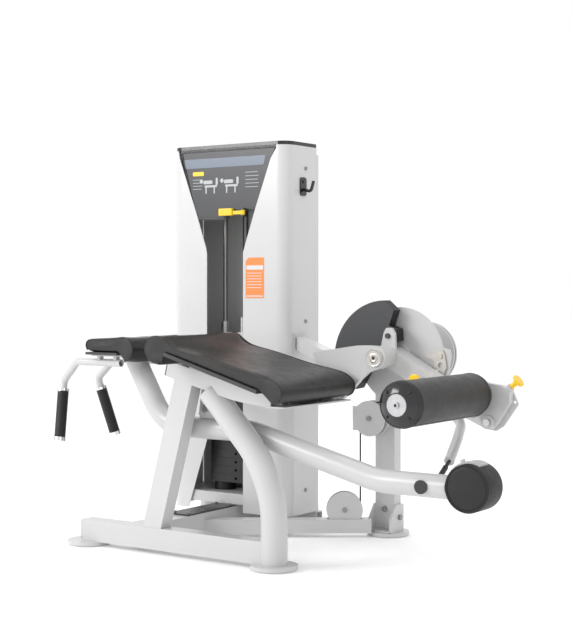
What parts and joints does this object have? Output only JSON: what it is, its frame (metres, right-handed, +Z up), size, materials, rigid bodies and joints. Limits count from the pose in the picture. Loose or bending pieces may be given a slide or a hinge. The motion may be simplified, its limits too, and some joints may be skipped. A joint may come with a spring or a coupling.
{
  "type": "lying leg curl machine",
  "caption": "Prone leg curl bench with sloped pad, rocking chest pad and hand grips, padded leg roller on a balanced arm, and a shrouded weight-stack tower.",
  "frame": {"origin": "middle of the machine's box, on the floor", "axes": "+X runs along the bench from the hand grips to the leg roller, +Y from the bench to the weight-stack tower, +Z up"},
  "size_m": [1.7008, 1.0269, 1.478],
  "materials": {
    "white_paint": "semi-gloss powder coat",
    "black_paint": "satin powder coat",
    "grey_paint": "satin coating",
    "steel": "satin",
    "chrome": "polished",
    "zinc": "bright plated",
    "upholstery": "fine-grained synthetic leather",
    "board": "black sealed plywood",
    "rubber": "matte",
    "black_plastic": "matte",
    "pulley_plastic": "matte glass-filled nylon",
    "yellow_plastic": "gloss",
    "cable_jacket": "smooth jacket",
    "panel": "printed panel, left plain"
  },
  "bodies": {
    "frame": {"floor_feet": "white_paint", "front_beam": "white_paint", "tube_end_caps": "black_plastic", "curved_leg": "white_paint", "left_leg": "white_paint", "pad_beam": "white_paint", "spine_tube": "white_paint", "spine_cover_plate": "black_paint", "diagonal_tube": "white_paint", "rear_upright": "white_paint", "frame_bolts": "zinc", "pad_mounts": "white_paint", "pivot_bracket": "white_paint", "main_pad_board": "board", "main_pad": "upholstery", "rocker_pivot_pin": "steel", "left_shroud": "white_paint", "right_shroud": "white_paint", "top_cap": "black_plastic", "placard": "panel", "stack_tray": "white_paint", "tower_rear_frame": "white_paint", "guide_rods": "chrome", "stack_cushions": "rubber", "resting_plates": "black_paint", "coat_hook": "black_paint", "pulley_covers": "white_paint", "pull_cable": "cable_jacket"},
    "cam": {"exercise_shaft": "steel", "range_disc": "white_paint", "stop_hook": "zinc", "cable_sheave": "white_paint"},
    "arm": {"exercise_arm": "white_paint", "counterweight": "grey_paint"},
    "start_pin_body": {"start_pin": "yellow_plastic"},
    "carriage": {"roller_carriage": "white_paint", "roller_axle": "steel"},
    "carriage_pin_body": {"carriage_pin": "yellow_plastic"},
    "roller": {"leg_roller": "upholstery", "roller_hubs": "black_plastic"},
    "rocker": {"rocker_tube": "white_paint", "small_pad_board": "board", "small_pad": "upholstery", "handle_tubes": "white_paint", "hand_grips": "rubber", "grip_collars": "chrome", "end_weight": "rubber", "end_cradle": "white_paint", "link_pin": "black_plastic"},
    "link": {"link_tube": "white_paint", "link_rod_end": "black_paint"},
    "lifted_stack": {"lifted_plates": "black_paint", "stack_head": "steel"},
    "selector": {"selector_pin": "yellow_plastic"},
    "lever": {"weight_lever": "yellow_plastic"},
    "upper_wheel": {"upper_pulley": "pulley_plastic"},
    "lower_wheel": {"lower_pulley": "pulley_plastic"},
    "turn_wheel": {"turn_pulley": "pulley_plastic"},
    "base_wheel": {"base_pulley": "pulley_plastic"},
    "top_wheel": {"top_pulley": "pulley_plastic"}
  },
  "joints": [
    {"name": "cam_turn", "type": "hinge", "parent": "frame", "child": "cam", "pos_m": [0.29137, 0.1655, 0.69], "axis": [0, -1, 0], "range_deg": [0, 92]},
    {"name": "start_position", "type": "hinge", "parent": "cam", "child": "arm", "pos_m": [0.29137, 0.0955, 0.69], "axis": [0, -1, 0], "range_deg": [0, 24]},
    {"name": "start_pin_pull", "type": "slide", "parent": "arm", "child": "start_pin_body", "axis": [0, -1, 0], "range_m": [0, 0.012], "stiffness_N_per_m": 400},
    {"name": "carriage_tilt", "type": "hinge", "parent": "arm", "child": "carriage", "pos_m": [0.69137, 0.0425, 0.489], "axis": [0, -1, 0], "range_deg": [-15, 20]},
    {"name": "carriage_pin_pull", "type": "slide", "parent": "carriage", "child": "carriage_pin_body", "axis": [0.771, 0, 0.6369], "range_m": [0, 0.01], "stiffness_N_per_m": 400},
    {"name": "roller_spin", "type": "hinge", "parent": "carriage", "child": "roller", "pos_m": [0.65437, -0.2505, 0.58], "axis": [0, 1, 0], "continuous": true},
    {"name": "rocker_tilt", "type": "hinge", "parent": "frame", "child": "rocker", "pos_m": [-0.24463, -0.2425, 0.508], "axis": [0, -1, 0], "range_deg": [0, 7.55]},
    {"name": "link_swing", "type": "hinge", "parent": "rocker", "child": "link", "pos_m": [0.61237, -0.1845, 0.308], "axis": [0, -1, 0], "range_deg": [0, 4.8]},
    {"name": "stack_lift", "type": "slide", "parent": "frame", "child": "lifted_stack", "axis": [0, 0, 1], "range_m": [0, 0.1736]},
    {"name": "selector_pull", "type": "slide", "parent": "lifted_stack", "child": "selector", "axis": [0, -1, 0], "range_m": [0, 0.05]},
    {"name": "lever_swing", "type": "hinge", "parent": "frame", "child": "lever", "pos_m": [-0.40863, 0.172, 1.214], "axis": [0, 0, 1], "range_deg": [0, 60]},
    {"name": "upper_pulley_spin", "type": "hinge", "parent": "frame", "child": "upper_wheel", "pos_m": [0.05523, 0.3445, 0.443], "axis": [0, 1, 0], "range_deg": [0, 208]},
    {"name": "lower_pulley_spin", "type": "hinge", "parent": "frame", "child": "lower_wheel", "pos_m": [-0.04102, 0.31054, 0.101], "axis": [0.5756, -0.8178, 0], "range_deg": [0, 169]},
    {"name": "turn_pulley_spin", "type": "hinge", "parent": "frame", "child": "turn_wheel", "pos_m": [-0.49863, 0.03127, 0.042], "axis": [0, 0, 1], "range_deg": [0, 285]},
    {"name": "base_pulley_spin", "type": "hinge", "parent": "frame", "child": "base_wheel", "pos_m": [-0.53363, 0.3385, 0.072], "axis": [-1, 0, 0], "range_deg": [0, 332]},
    {"name": "top_pulley_spin", "type": "hinge", "parent": "frame", "child": "top_wheel", "pos_m": [-0.51213, 0.327, 1.385], "axis": [-0.8879, -0.46, 0], "range_deg": [0, 213]}
  ],
  "couplings": [
    {"joint": "rocker_tilt", "follows": "cam_turn", "ratio": 0.0817},
    {"joint": "link_swing", "follows": "cam_turn", "ratio": 0.052},
    {"joint": "stack_lift", "follows": "cam_turn", "m_per_rad": 0.108},
    {"joint": "upper_pulley_spin", "follows": "cam_turn", "ratio": 2.25},
    {"joint": "lower_pulley_spin", "follows": "cam_turn", "ratio": 1.8305},
    {"joint": "turn_pulley_spin", "follows": "cam_turn", "ratio": 3.0857},
    {"joint": "base_pulley_spin", "follows": "cam_turn", "ratio": 3.6},
    {"joint": "top_pulley_spin", "follows": "cam_turn", "ratio": 2.3107}
  ]
}
